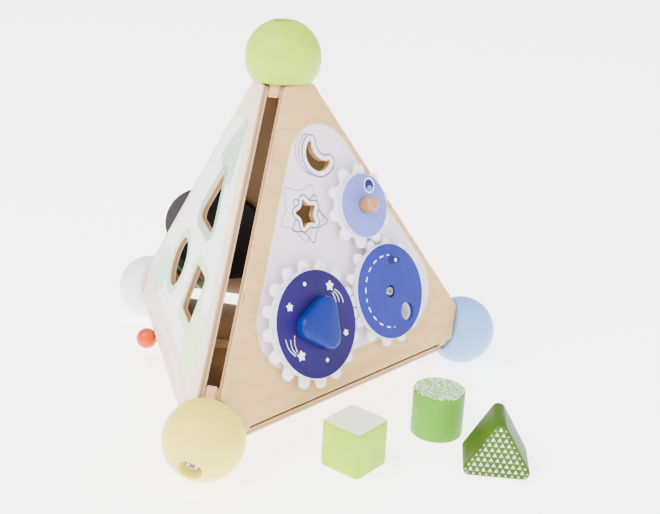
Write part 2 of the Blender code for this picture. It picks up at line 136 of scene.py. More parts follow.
# Each point moved inward along the mean of its two sides' normals
def insetLine(line, amount):
    back = line - np.roll(line, 1, axis=0)
    ahead = np.roll(line, -1, axis=0) - line
    back = back / np.linalg.norm(back, axis=1)[:, None]
    ahead = ahead / np.linalg.norm(ahead, axis=1)[:, None]
    n = np.column_stack((-back[:, 1] - ahead[:, 1], back[:, 0] + ahead[:, 0]))
    n = n / np.linalg.norm(n, axis=1)[:, None]
    bend = np.clip(np.sum(n * np.column_stack((-ahead[:, 1], ahead[:, 0])), axis=1), 0.6, 1.0)
    return line + n * (amount / bend)[:, None]


# Signed distance to a closed line: least distance to its sides, negative inside
def signedDistance(points, line):
    points = np.asarray(points)[:, :2]
    best = np.full(len(points), 1e9)
    inside = np.zeros(len(points), bool)
    for a, b in zip(line, np.roll(line, -1, axis=0)):
        best = np.minimum(best, segmentDistance(points, a, b))
        crosses = (a[1] > points[:, 1]) != (b[1] > points[:, 1])
        rise = b[1] - a[1] if abs(b[1] - a[1]) > 1e-12 else 1e-12
        inside ^= crosses & (points[:, 0] < (b[0] - a[0]) * (points[:, 1] - a[1]) / rise + a[0])
    return np.where(inside, -best, best)


# Distance to a segment: to the nearest point of it
def segmentDistance(points, a, b):
    a, b = np.asarray(a, float), np.asarray(b, float)
    along = b - a
    t = np.clip(((points[:, :2] - a) @ along) / max(1e-12, along @ along), 0.0, 1.0)
    return np.hypot(*(points[:, :2] - a - t[:, None] * along).T)


# Points turned about the origin, after the centre is taken off
def turned2d(points, angle, centre=(0.0, 0.0)):
    x, y = (np.asarray(points)[:, :2] - np.asarray(centre)).T
    return np.column_stack((x * cos(angle) - y * sin(angle), x * sin(angle) + y * cos(angle)))


# A star: alternate outer and inner radii, then corners cut twice to round them
def starLine(outer, inner, centre, lean, softness=2, cut=0.22):
    angle = lean + np.arange(10) * pi / 5.0
    r = np.where(np.arange(10) % 2 == 0, outer, inner)
    line = np.column_stack((centre[0] + r * np.cos(angle), centre[1] + r * np.sin(angle)))
    for _ in range(softness):
        ahead = np.roll(line, -1, axis=0)
        line = np.stack((line * (1.0 - cut) + ahead * cut, line * cut + ahead * (1.0 - cut)), axis=1)
        line = line.reshape(-1, 2)
    return line


# A crescent: an outer arc and an inner arc, joined by a short round at each tip
def moonLine(outer, inner, trim=0.24):
    ox, oy, ro = outer
    ix, iy, ri = inner
    d = sqrt((ix - ox) ** 2 + (iy - oy) ** 2)
    lean = atan2(iy - oy, ix - ox)
    outerHalf = acos((ro * ro - ri * ri + d * d) / (2.0 * ro * d))
    innerHalf = acos((ri * ri - ro * ro + d * d) / (2.0 * ri * d))
    s = np.linspace(lean + outerHalf + trim, lean + 2.0 * pi - outerHalf - trim, 40)
    t = np.linspace(lean + pi + innerHalf - trim, lean + pi - innerHalf + trim, 24)
    outerArc = np.column_stack((ox + ro * np.cos(s), oy + ro * np.sin(s)))
    innerArc = np.column_stack((ix + ri * np.cos(t), iy + ri * np.sin(t)))

    # Half circle from p to q
    def tip(p, q):
        hub, reach = (p + q) / 2.0, np.hypot(*(q - p)) / 2.0
        start = atan2(p[1] - hub[1], p[0] - hub[0])
        a = start + np.array((0.25, 0.5, 0.75)) * pi
        return np.column_stack((hub[0] + reach * np.cos(a), hub[1] + reach * np.sin(a)))

    return np.vstack((outerArc, tip(outerArc[-1], innerArc[0]), innerArc, tip(innerArc[-1], outerArc[0])))


# An involute gear: half angle at r is thick/2R + inv(pressure) - inv(acos(base/r)), corners rounded
def gearLine(teeth, tip, root, thick, phase, module=4.827, pressure=radians(22.0), corner=1.3, foot=0.9):
    pitch = module * teeth / 2.0
    base = pitch * cos(pressure)

    # Half angle of a tooth at radius r
    def half(r):
        a = np.arccos(np.minimum(1.0, base / r))
        return thick / (2.0 * pitch) + tan(pressure) - pressure - (np.tan(a) - a)

    cornerTurn = np.linspace(0.0, pi / 2.0, 6)[1:]
    footTurn = np.linspace(pi / 2.0, 0.0, 5)[:-1]
    flankR = np.linspace(root + foot, tip - corner, 8)
    topR = tip - corner + corner * np.sin(cornerTurn)
    topA = half(topR) - corner * (1.0 - np.cos(cornerTurn)) / topR
    footR = root + foot - foot * np.sin(footTurn)
    footA = half(root + foot) + foot * (1.0 - np.cos(footTurn)) / footR
    r = np.concatenate((footR, flankR, topR))
    a = np.concatenate((footA, half(flankR), topA))
    r = np.concatenate((r, r[::-1]))
    a = np.concatenate((-a, a[::-1]))
    step = 2.0 * pi / teeth
    allA = (phase + np.arange(teeth)[:, None] * step + a[None, :]).ravel()
    allR = np.tile(r, teeth)
    return np.column_stack((allR * np.cos(allA), allR * np.sin(allA)))


# Panel outline: a triangle of the given inradius with its corners cut square and rounded
def panelLine(turn=0.0, inradius=73.0, cutAt=124.5, corner=2.0):
    half = (2.0 * inradius - cutAt) * tan(radians(30.0))
    points = []
    for k in range(3):
        a = radians(90.0) + turn + 2.0 * pi * k / 3.0
        points += [(cutAt * cos(a) - s * half * sin(a), cutAt * sin(a) + s * half * cos(a)) for s in (-1, 1)]
    return roundedLine(points, corner, 4)


# Surfaces

# Finishes a piece: local coordinates and print distances as attributes, then metres and place
def finishPiece(name, mesh, placed, finish, body, nodes, fields=None, smoothAngle=40.0):
    local = np.empty(len(mesh.vertices) * 3)
    mesh.vertices.foreach_get("co", local)
    mesh.attributes.new("local", "FLOAT_VECTOR", "POINT").data.foreach_set("vector", local)
    points = local.reshape(-1, 3)
    for key, values in (fields(points) if fields else {}).items():
        mesh.attributes.new(key, "FLOAT", "POINT").data.foreach_set("value", values.astype(np.float32))
    mesh.transform(Matrix.Scale(mm, 4) @ placed)
    mesh.shade_smooth()
    mesh.set_sharp_from_angle(angle=radians(smoothAngle))
    obj = bpy.data.objects.new(name, mesh)
    bpy.context.scene.collection.objects.link(obj)
    mesh.materials.append(finish)
    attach(obj, body)
    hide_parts(*nodes)


# A flat piece: each line is offset row by row through the thickness to round its edges, and the
# faces between are filled with a triangle net that holds grid points for the printed face
def plateMesh(name, outline, holes, rows, holeRows, grid=0.0):
    lines = [outline] + list(holes)
    verts, quads, tops, bottoms = [], [], [], []
    first = 0
    for k, line in enumerate(lines):
        steps = rows if k == 0 else holeRows
        sign = 1.0 if k == 0 else -1.0
        rings = [insetLine(line, sign * a) if a else line for a, z in steps]
        heights = [z for a, z in steps]
        block = np.vstack([np.column_stack((ring, np.full(len(ring), z)))
                           for ring, z in zip(rings, heights)])
        size = len(line)
        i = np.arange(size)
        j = (i + 1) % size
        for row in range(len(steps) - 1):
            lo, hi = first + row * size, first + (row + 1) * size
            face = np.column_stack((lo + i, lo + j, hi + j, hi + i))
            quads.append(face if k == 0 else face[:, ::-1])
        bottoms.append((rings[0], first))
        tops.append((rings[-1], first + (len(steps) - 1) * size))
        verts.append(block)
        first += len(block)
    verts = [np.vstack(verts)]
    triangles = []
    for caps, z, up, spacing in ((tops, rows[-1][1], True, grid), (bottoms, rows[0][1], False, 0.0)):
        points = [Vector(p) for ring, _ in caps for p in ring]
        index = [start + k for ring, start in caps for k in range(len(ring))]
        edges, base = [], 0
        for ring, _ in caps:
            edges += [(base + k, base + (k + 1) % len(ring)) for k in range(len(ring))]
            base += len(ring)
        if spacing:
            low, high = caps[0][0].min(axis=0), caps[0][0].max(axis=0)
            x, y = np.meshgrid(np.arange(low[0], high[0], spacing), np.arange(low[1], high[1], spacing))
            net = np.column_stack((x.ravel(), y.ravel()))
            keep = signedDistance(net, caps[0][0]) < -0.4 * spacing
            for ring, _ in caps[1:]:
                keep &= signedDistance(net, ring) > 0.4 * spacing
            net = net[keep]
            index += list(range(first, first + len(net)))
            points += [Vector(p) for p in net]
            verts.append(np.column_stack((net, np.full(len(net), z))))
            first += len(net)
        out, _, faces, source, _, _ = delaunay_2d_cdt(points, edges, [], 0, 1e-7, True)
        faces = np.array([f[:3] for f in faces])
        flatPoints = np.array([p[:] for p in out])
        centres = flatPoints[faces].mean(axis=1)
        keep = signedDistance(centres, caps[0][0]) < 0.0
        for ring, _ in caps[1:]:
            keep &= signedDistance(centres, ring) > 0.0
        where = np.array([index[s[0]] for s in source])
        faces = where[faces[keep]]
        triangles.append(faces if up else faces[:, ::-1])
    mesh = bpy.data.meshes.new(name)
    mesh.from_pydata(np.vstack(verts), [], np.vstack(quads).tolist() + np.vstack(triangles).tolist())
    return mesh


# A turned piece: a (radius, height) profile swept round the axis: x = r cos, y = r sin, z = height.
# It closes on itself or at the axis
def turnedMesh(name, profile, count, closed=False):
    profile = np.asarray(profile, float)
    angle = np.arange(count) * 2.0 * pi / count
    x = profile[:, :1] * np.cos(angle)
    y = profile[:, :1] * np.sin(angle)
    z = np.repeat(profile[:, 1:2], count, axis=1)
    verts = np.stack((x, y, z), axis=-1).reshape(-1, 3)
    rows = len(profile)
    i, k = np.meshgrid(np.arange(rows if closed else rows - 1), np.arange(count), indexing="ij")
    j, m = (i + 1) % rows, (k + 1) % count
    quads = np.stack((i * count + k, i * count + m, j * count + m, j * count + k), axis=-1).reshape(-1, 4)
    mesh = bpy.data.meshes.new(name)
    mesh.from_pydata(verts, [], quads.tolist())
    bm = bmesh.new()
    bm.from_mesh(mesh)
    bmesh.ops.remove_doubles(bm, verts=bm.verts, dist=1e-5)
    bmesh.ops.recalc_face_normals(bm, faces=bm.faces)
    bm.to_mesh(mesh)
    bm.free()
    return mesh


# Rows of a rounded edge: a quarter circle of the given radius at the bottom and at the top
def roundRows(low, high, bottom, top, steps=4):
    t = np.linspace(0.0, pi / 2.0, steps)
    rows = []
    if bottom:
        rows += [(bottom * (1.0 - sin(a)), low + bottom * (1.0 - cos(a))) for a in t]
    else:
        rows.append((0.0, low))
    if top:
        rows += [(top * (1.0 - cos(a)), high - top * (1.0 - sin(a))) for a in t]
    else:
        rows.append((0.0, high))
    return rows


# Materials

# sRGB hex to linear: c/12.92 up to 0.04045, else ((c + 0.055)/1.055) to the power 2.4
def linear(hexColour):
    c = np.array([int(hexColour[k:k + 2], 16) for k in (0, 2, 4)]) / 255.0
    return tuple(np.where(c <= 0.04045, c / 12.92, ((c + 0.055) / 1.055) ** 2.4)) + (1.0,)


# Adds a node: settings are its properties, inputs are values or sockets by place or name
def addNode(tree, kind, inputs=None, **settings):
    node = tree.nodes.new("ShaderNode" + kind)
    for key, value in settings.items():
        setattr(node, key, value)
    for key, value in (inputs or {}).items():
        if isinstance(value, bpy.types.NodeSocket):
            tree.links.new(value, node.inputs[key])
        else:
            node.inputs[key].default_value = value
    return node


# A new material with its shader's common settings
def startMaterial(name, roughness=0.45, coat=0.0, coatRoughness=0.1, ior=1.5, specular=0.5):
    material = bpy.data.materials.new(name)
    material.use_nodes = True
    shader = material.node_tree.nodes["Principled BSDF"]
    shader.inputs["Roughness"].default_value = roughness
    shader.inputs["IOR"].default_value = ior
    shader.inputs["Specular IOR Level"].default_value = specular
    shader.inputs["Coat Weight"].default_value = coat
    shader.inputs["Coat Roughness"].default_value = coatRoughness
    return material, material.node_tree, shader


# One sum on two or three values
def calc(tree, operation, a, b=0.0, c=0.0):
    return addNode(tree, "Math", {0: a, 1: b, 2: c}, operation=operation).outputs[0]


# From colour a to colour b by a share
def blendColour(tree, share, a, b):
    return addNode(tree, "Mix", {0: share, 6: a, 7: b}, data_type="RGBA").outputs[2]


# Share of a print: 1 where the value is below the edge, 0 above, over a soft step
def below(tree, value, edge, soft=0.12):
    node = addNode(tree, "MapRange", {0: value, 1: edge - soft, 2: edge + soft, 3: 1.0, 4: 0.0},
                   interpolation_type="SMOOTHSTEP", clamp=True)
    return node.outputs[0]


# The other side of an edge: 1 where the value is above it
def above(tree, value, edge, soft=0.12):
    return below(tree, calc(tree, "MULTIPLY", value, -1.0), -edge, soft)


# Share of a printed line: where the value is within half a width of the offset
def lineAt(tree, value, offset, halfWidth, soft=0.12):
    away = calc(tree, "ABSOLUTE", calc(tree, "SUBTRACT", value, offset))
    return below(tree, away, halfWidth, soft)


# A number stored on the mesh by finishPiece
def attribute(tree, name):
    return addNode(tree, "Attribute", attribute_name=name).outputs["Fac"]


# Place in the piece's own axes, in millimetres, stretched by a scale for each axis
def localPoint(tree, scale=(1.0, 1.0, 1.0)):
    source = addNode(tree, "Attribute", attribute_name="local").outputs["Vector"]
    return addNode(tree, "VectorMath", {0: source, 1: scale}, operation="MULTIPLY").outputs[0]


# Height along the piece's own third axis, in millimetres
def localHeight(tree):
    source = addNode(tree, "Attribute", attribute_name="local").outputs["Vector"]
    return addNode(tree, "SeparateXYZ", {0: source}).outputs[2]


# Fractal noise; the scale is per millimetre of the place it is given
def noise(tree, vector, scale, detail=3.0, rough=0.5):
    return addNode(tree, "TexNoise", {"Vector": vector, "Scale": scale, "Detail": detail,
                                      "Roughness": rough}).outputs[0]


# A value between low and high, stretched evenly to another range
def ramp(tree, value, low, high, toLow=0.0, toHigh=1.0):
    return addNode(tree, "MapRange", {0: value, 1: low, 2: high, 3: toLow, 4: toHigh}, clamp=True).outputs[0]


# Fine relief from a height, with its depth in metres
def bumped(tree, shader, height, distance, strength=1.0):
    node = addNode(tree, "Bump", {"Strength": strength, "Distance": distance, "Height": height})
    tree.links.new(node.outputs[0], shader.inputs["Normal"])


# Birch colour: long fine streaks along u, broad slow bands, and small dark pores
def birchColour(tree, pale, deep, along=(0.012, 0.22, 0.1)):
    streaks = noise(tree, localPoint(tree, along), 6.0, 5.0, 0.6)
    bands = noise(tree, localPoint(tree, (along[0] * 0.5, along[1] * 0.16, 0.05)), 4.0, 2.0)
    pores = noise(tree, localPoint(tree, (along[0] * 6.0, along[1] * 9.0, 1.0)), 6.0, 2.0)
    mixed = calc(tree, "MULTIPLY_ADD", streaks, 0.55, calc(tree, "MULTIPLY", bands, 0.45))
    colour = blendColour(tree, ramp(tree, mixed, 0.35, 0.65), linear(pale), linear(deep))
    speck = ramp(tree, pores, 0.64, 0.74, 0.0, 0.22)
    return blendColour(tree, speck, colour, linear("B08A5E")), streaks, pores


# Ply colours; inside is the colour of the painted shade on the faces toward the middle of the pyramid
plyLook = {"face": 0.5, "glueHalf": 0.1, "coreLight": "C79F70", "coreDark": "8A6240", "glue": "5F3E26",
           "inside": "7E5A32"}


# Ply edge colour by height through the sheet: pale faces, a darker core and thin glue lines
def plyEdge(tree, colour, low, high):
    depth = localHeight(tree)
    lowGlue, highGlue = low + (high - low) / 3.0, low + 2.0 * (high - low) / 3.0
    core = calc(tree, "MULTIPLY", below(tree, depth, highGlue, 0.08), above(tree, depth, lowGlue, 0.08))
    glue = calc(tree, "MAXIMUM", lineAt(tree, depth, lowGlue, plyLook["glueHalf"], 0.08),
                lineAt(tree, depth, highGlue, plyLook["glueHalf"], 0.08))
    inner = calc(tree, "MULTIPLY", below(tree, depth, high - plyLook["face"], 0.1),
                 above(tree, depth, low + plyLook["face"], 0.1))
    edge = blendColour(tree, calc(tree, "MULTIPLY", core, 0.75), linear(plyLook["coreLight"]),
                       linear(plyLook["coreDark"]))
    edge = blendColour(tree, calc(tree, "MULTIPLY", glue, 0.6), edge, linear(plyLook["glue"]))
    return blendColour(tree, inner, colour, edge)


# The face toward the middle is painted darker and warmer: painted shade for the inside of the closed pyramid
def paintedInsideShade(tree, colour, low, high):
    depth = localHeight(tree)
    if low > 0.0:
        inside = below(tree, depth, low + 0.05, 0.04)
    else:
        inside = above(tree, depth, high - 0.05, 0.04)
    # Painted shade: the inner face is blended toward the inside colour
    return blendColour(tree, calc(tree, "MULTIPLY", inside, 0.85), colour, linear(plyLook["inside"]))


# Smooth paint: a near-even colour that varies slowly, faint orange peel and a slightly uneven shine
def paint(name, colour, roughness=0.4, coat=0.25, variation=0.06, grain=0.0, specular=0.4):
    material, tree, shader = startMaterial(name, roughness, coat, 0.12, specular=specular)
    slow = noise(tree, localPoint(tree), 0.05, 3.0)
    base = linear(colour)
    dark = tuple(c * (1.0 - variation * 2.0) for c in base[:3]) + (1.0,)
    tint = blendColour(tree, ramp(tree, slow, 0.35, 0.7), base, dark)
    tree.links.new(tint, shader.inputs["Base Color"])
    peel = noise(tree, localPoint(tree), 0.9, 2.0)
    fibre = noise(tree, localPoint(tree, (0.1, 1.4, 1.4)), 1.6, 4.0)
    height = calc(tree, "MULTIPLY_ADD", fibre, 1.0 if grain else 0.0, peel)
    bumped(tree, shader, height, 0.00002 + grain * 0.00004, 0.6)
    shine = ramp(tree, noise(tree, localPoint(tree), 0.12, 3.0), 0.3, 0.7,
                 roughness - 0.05, roughness + 0.06)
    tree.links.new(shine, shader.inputs["Roughness"])
    return material


# Birch or beech under a thin clear coat: streaks and a faint relief; edge is the span of a ply sheet, whose
# face toward the middle then gets painted shade
def woodMaterial(name, pale, deep, roughness=0.5, along=(0.012, 0.22, 0.1), edge=None):
    material, tree, shader = startMaterial(name, roughness, 0.1, 0.25)
    colour, streaks, pores = birchColour(tree, pale, deep, along)
    if edge:
        # Ply edge colours, then painted shade on the face toward the middle
        colour = paintedInsideShade(tree, plyEdge(tree, colour, *edge), *edge)
    tree.links.new(colour, shader.inputs["Base Color"])
    bumped(tree, shader, calc(tree, "MULTIPLY_ADD", pores, 0.5, streaks), 0.00004, 0.6)
    return material


# Steel for the CAD screws: fine turning marks from object coordinates
def steelMaterial(name, colour="8D8A86"):
    material, tree, shader = startMaterial(name, 0.32)
    shader.inputs["Metallic"].default_value = 1.0
    place = addNode(tree, "TexCoord").outputs["Object"]
    marks = addNode(tree, "TexNoise", {"Vector": place, "Scale": 900.0, "Detail": 3.0}).outputs[0]
    tint = blendColour(tree, marks, linear(colour), linear("B9B4AC"))
    tree.links.new(tint, shader.inputs["Base Color"])
    tree.links.new(ramp(tree, marks, 0.3, 0.7, 0.25, 0.42), shader.inputs["Roughness"])
    bumped(tree, shader, marks, 0.00002, 0.5)
    return material


# Raw birch on a CAD piece, from object coordinates in metres
def rawWood(name, pale, deep):
    material, tree, shader = startMaterial(name, 0.6)
    place = addNode(tree, "TexCoord").outputs["Object"]
    long = addNode(tree, "VectorMath", {0: place, 1: (60.0, 500.0, 300.0)}, operation="MULTIPLY").outputs[0]
    streaks = addNode(tree, "TexNoise", {"Vector": long, "Scale": 1.0, "Detail": 5.0}).outputs[0]
    tint = blendColour(tree, ramp(tree, streaks, 0.35, 0.65), linear(pale), linear(deep))
    tree.links.new(tint, shader.inputs["Base Color"])
    bumped(tree, shader, streaks, 0.00005, 0.5)
    return material


# Panels

panelSizes = {"near": 5.5, "far": 10.0, "ease": 0.6, "step": 3.0}
birchTones = ("D8B078", "C49A5A")
gearPanelShape = {"holeEase": 0.35, "shapeStep": 0.8, "grid": 1.1}
moonShape = {"outer": (4.5, 78.3, 11.2), "inner": (11.5, 84.5, 11.4)}
starShape = {"centre": (-16.5, 42.5), "outer": 10.9, "inner": 5.5, "lean": radians(95.0)}
sorterShape = {"triangle": (-1.0, 35.5), "side": 48.4, "triangleCorner": 5.0, "circle": (-32.5, -17.8),
               "radius": 17.7, "square": (30.0, -17.5), "squareSide": 32.4, "squareCorner": 3.5,
               "ease": 0.5, "step": 1.5, "grid": 0.9}
gearPlan = {
    "large": {"centre": (-36.1, -25.8), "teeth": 16, "tip": 41.0, "root": 34.5, "thick": 7.1, "disc": 34.8},
    "middle": {"centre": (36.2, -21.9), "teeth": 14, "tip": 37.2, "root": 30.8, "thick": 7.1, "disc": 32.6},
    "small": {"centre": (27.3, 38.9), "teeth": 10, "tip": 28.3, "root": 22.3, "thick": 8.6, "disc": 21.8},
}
boltHole = 2.3
farAway = 50.0  # a distance that is outside every printed shape
panelSpan = (panelSizes["near"], panelSizes["far"])
panelRows = roundRows(*panelSpan, panelSizes["ease"], panelSizes["ease"])
panelEdge = divided(panelLine(), panelSizes["step"])

moon = divided(moonLine(moonShape["outer"], moonShape["inner"]), gearPanelShape["shapeStep"])
star = divided(starLine(starShape["outer"], starShape["inner"], starShape["centre"], starShape["lean"]),
               gearPanelShape["shapeStep"])


groundShape = {"apex": (5.2, 127.8), "left": (-99.1, -53.0), "right": (109.7, -53.0), "corner": 30.0}
starEchoes = {
    "starSecond": {"outer": 19.0, "inner": 9.4, "centre": (-15.5, 39.5), "lean": radians(54.0)},
    "starThird": {"outer": 22.5, "inner": 12.5, "centre": (-20.5, 44.5), "lean": radians(50.0)},
}
moonEchoes = {
    "moonSecond": {"shift": (3.0, -0.8, 0.0), "clear": 3.9, "reach": 6.0},
    "moonThird": {"shift": (5.6, -1.8, 0.0), "clear": 4.4, "reach": 2.0},
}
echoLines = {
    "starThird": {"offset": 0.0, "half": 0.34, "ink": "8078AE", "share": 0.9},
    "moonThird": {"offset": 3.6, "half": 0.32, "ink": "7870A8", "share": 0.9},
    "starSecond": {"offset": 0.0, "half": 0.42, "ink": "40348C", "share": 0.95},
    "moonSecond": {"offset": 3.6, "half": 0.36, "ink": "4A3F92", "share": 0.95},
    "star": {"offset": 2.9, "half": 0.45, "ink": "281C7C", "share": 0.95},
    "moon": {"offset": 3.7, "half": 0.45, "ink": "281C7C", "share": 0.95},
}


# Rounded triangle of the printed ground, from two slanted sides and a level one
def groundLine(mirror=1.0):
    line = roundedLine([groundShape["right"], groundShape["apex"], groundShape["left"]],
                       groundShape["corner"], 16)
    return line if mirror > 0.0 else (line * (-1.0, 1.0))[::-1]


# Distances to the printed ground, the star, the moon and the echoes round them
def gearPanelFields(p):
    base = signedDistance(p, moon)
    fields = {"ground": signedDistance(p, groundLine()), "moon": base, "star": signedDistance(p, star)}
    for name, echo in starEchoes.items():
        line = starLine(echo["outer"], echo["inner"], echo["centre"], echo["lean"], 3)
        fields[name] = signedDistance(p, line)
    for name, echo in moonEchoes.items():
        free = (base > echo["clear"]) & (p[:, 0] < echo["reach"])
        fields[name] = np.where(free, signedDistance(p + echo["shift"], moon), farAway)
    return fields


# Birch plywood with a pale lavender print: the ply shows at the edges and faintly through the ink
def gearPanelFinish():
    material, tree, shader = startMaterial("birchPlyLavenderPrint", 0.5, 0.15, 0.25)
    birch, streaks, pores = birchColour(tree, *birchTones)
    # Ply edges, and painted shade on the face toward the middle
    birch = paintedInsideShade(tree, plyEdge(tree, birch, *panelSpan), *panelSpan)
    edgeSoft = noise(tree, localPoint(tree), 0.03, 2.0)
    lavender = blendColour(tree, ramp(tree, edgeSoft, 0.3, 0.7), linear("E8DAEC"), linear("DED0E2"))
    lavender = blendColour(tree, ramp(tree, streaks, 0.4, 0.8, 0.0, 0.2), lavender, linear("D8C2B4"))
    face = above(tree, localHeight(tree), panelSizes["far"] - 0.1, 0.08)
    printed = calc(tree, "MULTIPLY", below(tree, attribute(tree, "ground"), 0.0, 0.5), face)
    colour = blendColour(tree, calc(tree, "MULTIPLY", printed, 0.93), birch, lavender)
    for name, line in echoLines.items():
        mask = lineAt(tree, attribute(tree, name), line["offset"], line["half"], 0.16)
        if name in starEchoes:
            mask = calc(tree, "MULTIPLY", mask, above(tree, attribute(tree, "star"), 3.3, 0.1))
        mask = calc(tree, "MULTIPLY", mask, face)
        colour = blendColour(tree, calc(tree, "MULTIPLY", mask, line["share"]), colour, linear(line["ink"]))
    halo = calc(tree, "MINIMUM", attribute(tree, "star"), attribute(tree, "moon"))
    pale = calc(tree, "MULTIPLY", below(tree, halo, 2.4, 0.2), face)
    colour = blendColour(tree, calc(tree, "MULTIPLY", pale, 0.35), colour, linear("F0EDF0"))
    tree.links.new(colour, shader.inputs["Base Color"])
    bumped(tree, shader, calc(tree, "MULTIPLY_ADD", pores, 0.5, streaks), 0.00003, 0.5)
    return material


axleLines = [circleLine(boltHole, 24, gear["centre"]) for gear in gearPlan.values()]
gearPanelMesh = plateMesh("gearPanelSheet", panelEdge, [moon, star] + axleLines, panelRows,
                          roundRows(*panelSpan, gearPanelShape["holeEase"], gearPanelShape["holeEase"]),
                          gearPanelShape["grid"])
finishPiece("gearPanelSheet", gearPanelMesh, gearAxes, gearPanelFinish(), "pyramid", ["gear_panel"],
            fields=gearPanelFields)
print("gear panel done")

triangleHole = roundedLine(regular(3, sorterShape["side"] / (2.0 * sqrt(3.0)), pi / 2.0),
                           sorterShape["triangleCorner"], 10, sorterShape["triangle"])
circleHole = circleLine(sorterShape["radius"], 96, sorterShape["circle"])
squareHole = roundedLine(regular(4, sorterShape["squareSide"] / 2.0, pi / 4.0), sorterShape["squareCorner"],
                         8, sorterShape["square"])
twinShape = {"triangle": ((24.5, 53.0), (10.0, 106.0), (-27.0, 65.0)),
             "square": ((81.0, -58.0), (88.0, -20.0), (50.0, -11.0), (42.0, -50.0)), "corner": 5.0,
             "circle": (-70.0, -38.0), "radius": 19.0, "echo": (-44.0, -24.0), "echoRadius": 36.0}
patternShape = {"stripe": 3.0, "stripeTurn": radians(-62.0), "dots": 3.2, "dotTurn": radians(12.0),
                "net": 2.6, "netTurn": radians(14.0)}
twinInks = {
    "circleTwin": {"fill": "A8E2B4", "pattern": "stripe", "half": 0.35, "ink": "68B082", "share": 0.9},
    "squareTwin": {"fill": "C8EAA8", "pattern": "dots", "half": 0.7, "ink": "82AE6C", "share": 0.9},
    "triangleTwin": {"fill": "CFEACF", "pattern": "net", "half": 0.42, "ink": "4A8252", "share": 0.95},
}
ringInks = {"triangleRing": "6E9A6A", "circleRing": "90D098", "squareRing": "B4DA7E"}
ringWidth = 6.6


# How far each turned coordinate is from the middle of its step
def stepAway(p, pitch, angle):
    return ((turned2d(p, angle) / pitch) % 1.0 - 0.5) * pitch


# Distances to the holes, their printed twins, one arc and the three fine patterns
def sorterFields(p):
    triangleTwin = roundedLine(twinShape["triangle"], twinShape["corner"], 8)
    squareTwin = roundedLine(twinShape["square"], twinShape["corner"], 8)
    circleX, circleY = twinShape["circle"]
    echoX, echoY = twinShape["echo"]
    echo = np.abs(np.hypot(p[:, 0] - echoX, p[:, 1] - echoY) - twinShape["echoRadius"])
    net = np.abs(stepAway(p, patternShape["net"], patternShape["netTurn"]))
    return {
        "ground": signedDistance(p, groundLine(-1.0)),
        "triangleRing": signedDistance(p, triangleHole), "circleRing": signedDistance(p, circleHole),
        "squareRing": signedDistance(p, squareHole), "triangleTwin": signedDistance(p, triangleTwin),
        "circleTwin": np.hypot(p[:, 0] - circleX, p[:, 1] - circleY) - twinShape["radius"],
        "squareTwin": signedDistance(p, squareTwin), "net": np.minimum(net[:, 0], net[:, 1]),
        "stripe": np.abs(stepAway(p, patternShape["stripe"], patternShape["stripeTurn"])[:, 0]),
        "dots": np.hypot(*stepAway(p, patternShape["dots"], patternShape["dotTurn"]).T),
        "echo": np.where((p[:, 1] > 2.0) & (p[:, 0] < -28.0), echo, farAway),
    }


# Birch plywood with a near-white print, rings round the holes and patterned green twins of them
def sorterPanelFinish():
    material, tree, shader = startMaterial("birchPlyMintPrint", 0.5, 0.15, 0.25)
    birch, streaks, pores = birchColour(tree, "EFD8C2", "E0C3A2")
    # Ply edges, and painted shade on the face toward the middle
    birch = paintedInsideShade(tree, plyEdge(tree, birch, *panelSpan), *panelSpan)
    ground = blendColour(tree, ramp(tree, streaks, 0.35, 0.8, 0.0, 0.3), linear("F1EDF2"), linear("E9E2E0"))
    face = above(tree, localHeight(tree), panelSizes["far"] - 0.1, 0.08)
    inside = below(tree, attribute(tree, "ground"), 0.0, 1.0)
    printed = calc(tree, "MULTIPLY", inside, calc(tree, "MULTIPLY", face, 0.9))
    colour = blendColour(tree, printed, birch, ground)

    # One ink over the colour, on the printed face only
    def inked(colour, mask, ink, share):
        shown = calc(tree, "MULTIPLY", calc(tree, "MULTIPLY", mask, face), share)
        return blendColour(tree, shown, colour, linear(ink))

    colour = inked(colour, lineAt(tree, attribute(tree, "echo"), 0.0, 0.35, 0.15), "8E8A98", 0.8)
    for name, look in twinInks.items():
        twin = below(tree, attribute(tree, name), 0.0, 0.2)
        mark = below(tree, attribute(tree, look["pattern"]), look["half"], 0.15)
        colour = inked(colour, twin, look["fill"], 0.9)
        colour = inked(colour, calc(tree, "MULTIPLY", twin, mark), look["ink"], look["share"])
    for name, ink in ringInks.items():
        colour = inked(colour, below(tree, attribute(tree, name), ringWidth, 0.2), ink, 0.9)
    tree.links.new(colour, shader.inputs["Base Color"])
    bumped(tree, shader, calc(tree, "MULTIPLY_ADD", pores, 0.5, streaks), 0.00003, 0.5)
    return material


sorterHoles = [divided(line, sorterShape["step"]) for line in (triangleHole, circleHole, squareHole)]
sorterMesh = plateMesh("sorterPanelSheet", panelEdge, sorterHoles, panelRows,
                       roundRows(*panelSpan, sorterShape["ease"], sorterShape["ease"]), sorterShape["grid"])
finishPiece("sorterPanelSheet", sorterMesh, sorterAxes, sorterPanelFinish(), "pyramid", ["sorter_panel"],
            fields=sorterFields)
print("sorter panel done")

backShape = {"bolt": (62.5, -12.5), "patch": (125.0, -72.2), "patchRadius": 47.5, "pitch": 4.6, "size": 2.6,
             "grid": 1.0}
baseShape = {"span": (-panelSizes["far"], -panelSizes["near"]), "grid": 6.0}


# Distance to rows of small triangles, point up, on alternate half-pitch offsets
def triangleRows(p, pitch, size):
    row = np.floor(p[:, 1] / (pitch * 0.9))
    x = ((p[:, 0] / pitch + 0.5 * (row % 2)) % 1.0 - 0.5) * pitch
    y = p[:, 1] - (row + 0.5) * pitch * 0.9
    return np.maximum(-y - size * 0.5, np.abs(x) * 0.894 + y * 0.447 - size * 0.36)


# Distances to the round patch and to its triangles
def backPanelFields(p):
    x, y = backShape["patch"]
    return {"patch": np.hypot(p[:, 0] - x, p[:, 1] - y) - backShape["patchRadius"],
            "motif": triangleRows(p, backShape["pitch"], backShape["size"])}


